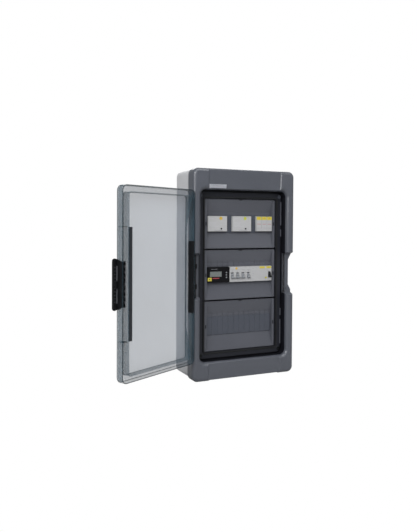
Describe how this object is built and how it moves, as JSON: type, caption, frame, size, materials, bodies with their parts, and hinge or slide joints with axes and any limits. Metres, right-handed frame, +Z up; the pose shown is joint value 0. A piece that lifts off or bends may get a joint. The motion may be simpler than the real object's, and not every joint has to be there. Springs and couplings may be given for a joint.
{
  "type": "combiner box",
  "caption": "Wall enclosure with a tinted hinged door, black handle and rows of rail-mounted breakers, relays and surge arresters behind snap-in covers.",
  "frame": {"origin": "centre of the wall-fixing pattern on the plane of the box's back face, which is y = 0", "axes": "+Z up, +X to the right seen from the front, +Y into the wall; the front and the door face -Y"},
  "size_m": [0.6045, 0.2731, 0.61],
  "materials": {
    "housing_plastic": "fine satin grain",
    "frame_plastic": "fine satin grain",
    "membrane": "satin",
    "gasket": "soft",
    "cover_plastic": "satin",
    "blank_plastic": "satin",
    "yellow_tab": "satin",
    "rail_steel": "zinc plated",
    "device_white": "satin",
    "device_dark": "satin",
    "device_grey": "satin",
    "device_black": "satin",
    "test_key": "gloss",
    "display": "gloss",
    "terminal_steel": "plated",
    "door_clear": "tinted clear moulding",
    "black_plastic": "satin",
    "terminal_plastic": "satin",
    "brass": "drawn",
    "copper": "plain copper",
    "wire_blue": "flexible sheath",
    "wire_green": "flexible sheath"
  },
  "bodies": {
    "enclosure": {"base_housing": "housing_plastic", "blanks_lower": "blank_plastic", "blanks_upper": "blank_plastic", "breaker_1p_body": "device_white", "breaker_3p_body": "device_white", "carrier_uprights": "rail_steel", "clamp_screws": "terminal_steel", "comb_busbar": "copper", "comb_cover": "terminal_plastic", "cover_release_tabs": "yellow_tab", "cover_side_clips": "blank_plastic", "din_rail_lower": "rail_steel", "din_rail_middle": "rail_steel", "din_rail_upper": "rail_steel", "door_seal": "gasket", "earth_terminal": "brass", "entry_membranes": "membrane", "fixing_caps": "membrane", "foot_clips": "device_black", "frame_screws": "rail_steel", "hinge_pin": "terminal_steel", "lid_frame": "frame_plastic", "lid_gasket": "gasket", "meter_body": "device_dark", "meter_display": "display", "neutral_terminal": "brass", "rail_screws": "rail_steel", "rcd_body": "device_white", "relay_left_body": "device_white", "relay_right_body": "device_white", "row_cover_lower": "cover_plastic", "row_cover_middle": "cover_plastic", "row_cover_upper": "cover_plastic", "surge_base": "device_white", "terminal_carrier": "terminal_plastic", "terminal_screws": "terminal_steel", "wire_earth": "wire_green", "wire_neutral": "wire_blue"},
    "door": {"door_shell": "door_clear", "door_hinge_bar": "black_plastic", "door_latch_strip": "black_plastic", "door_latch_block": "black_plastic", "handle_pin": "terminal_steel"},
    "handle": {"door_handle": "black_plastic"},
    "lid_screw_top_left": {"lid_screw_top_left": "blank_plastic"},
    "lid_screw_top_right": {"lid_screw_top_right": "blank_plastic"},
    "lid_screw_bottom_left": {"lid_screw_bottom_left": "blank_plastic"},
    "lid_screw_bottom_right": {"lid_screw_bottom_right": "blank_plastic"},
    "relay_left_dial": {"relay_left_dial": "device_grey"},
    "relay_right_dial": {"relay_right_dial": "device_grey"},
    "surge_plug_1": {"surge_plug_1": "device_white"},
    "surge_plug_2": {"surge_plug_2": "device_white"},
    "surge_plug_3": {"surge_plug_3": "device_white"},
    "meter_key_1": {"meter_key_1": "device_grey"},
    "meter_key_2": {"meter_key_2": "device_grey"},
    "meter_key_3": {"meter_key_3": "device_grey"},
    "breaker_3p_toggle": {"breaker_3p_toggle": "device_grey"},
    "breaker_1p_toggle": {"breaker_1p_toggle": "device_grey"},
    "rcd_toggle": {"rcd_toggle": "device_black"},
    "rcd_test_key": {"rcd_test_key": "test_key"}
  },
  "joints": [
    {"name": "door_hinge", "type": "hinge", "parent": "enclosure", "child": "door", "pos_m": [-0.1558, -0.1247, -0.0035], "axis": [0, 0, -1], "range_deg": [-152, 23]},
    {"name": "handle_pivot", "type": "hinge", "parent": "door", "child": "handle", "pos_m": [-0.42487, -0.25916, -0.0035], "axis": [0, 0, -1], "range_deg": [0, 10]},
    {"name": "lid_screw_turn_top_left", "type": "hinge", "parent": "enclosure", "child": "lid_screw_top_left", "pos_m": [-0.132, -0.105, 0.2295], "axis": [0, -1, 0], "range_deg": [0, 90]},
    {"name": "lid_screw_turn_top_right", "type": "hinge", "parent": "enclosure", "child": "lid_screw_top_right", "pos_m": [0.132, -0.105, 0.2295], "axis": [0, -1, 0], "range_deg": [0, 90]},
    {"name": "lid_screw_turn_bottom_left", "type": "hinge", "parent": "enclosure", "child": "lid_screw_bottom_left", "pos_m": [-0.132, -0.105, -0.2365], "axis": [0, -1, 0], "range_deg": [0, 90]},
    {"name": "lid_screw_turn_bottom_right", "type": "hinge", "parent": "enclosure", "child": "lid_screw_bottom_right", "pos_m": [0.132, -0.105, -0.2365], "axis": [0, -1, 0], "range_deg": [0, 90]},
    {"name": "relay_left_dial_turn", "type": "hinge", "parent": "enclosure", "child": "relay_left_dial", "pos_m": [-0.06375, -0.10385, 0.1319], "axis": [0, -1, 0], "range_deg": [-135, 135]},
    {"name": "relay_right_dial_turn", "type": "hinge", "parent": "enclosure", "child": "relay_right_dial", "pos_m": [0.01725, -0.10385, 0.1319], "axis": [0, -1, 0], "range_deg": [-135, 135]},
    {"name": "surge_plug_1_pull", "type": "slide", "parent": "enclosure", "child": "surge_plug_1", "axis": [0, -1, 0], "range_m": [0, 0.03]},
    {"name": "surge_plug_2_pull", "type": "slide", "parent": "enclosure", "child": "surge_plug_2", "axis": [0, -1, 0], "range_m": [0, 0.03]},
    {"name": "surge_plug_3_pull", "type": "slide", "parent": "enclosure", "child": "surge_plug_3", "axis": [0, -1, 0], "range_m": [0, 0.03]},
    {"name": "meter_key_1_press", "type": "slide", "parent": "enclosure", "child": "meter_key_1", "axis": [0, 1, 0], "range_m": [0, 0.001], "stiffness_N_per_m": 400},
    {"name": "meter_key_2_press", "type": "slide", "parent": "enclosure", "child": "meter_key_2", "axis": [0, 1, 0], "range_m": [0, 0.001], "stiffness_N_per_m": 400},
    {"name": "meter_key_3_press", "type": "slide", "parent": "enclosure", "child": "meter_key_3", "axis": [0, 1, 0], "range_m": [0, 0.001], "stiffness_N_per_m": 400},
    {"name": "rcd_test_key_press", "type": "slide", "parent": "enclosure", "child": "rcd_test_key", "axis": [0, 1, 0], "range_m": [0, 0.001], "stiffness_N_per_m": 400},
    {"name": "breaker_3p_toggle_swing", "type": "hinge", "parent": "enclosure", "child": "breaker_3p_toggle", "pos_m": [-0.009, -0.1, -0.0065], "axis": [-1, 0, 0], "range_deg": [0, 76]},
    {"name": "breaker_1p_toggle_swing", "type": "hinge", "parent": "enclosure", "child": "breaker_1p_toggle", "pos_m": [0.027, -0.1, -0.0065], "axis": [-1, 0, 0], "range_deg": [0, 76]},
    {"name": "rcd_toggle_swing", "type": "hinge", "parent": "enclosure", "child": "rcd_toggle", "pos_m": [0.1008, -0.1, -0.0065], "axis": [-1, 0, 0], "range_deg": [0, 76]}
  ]
}
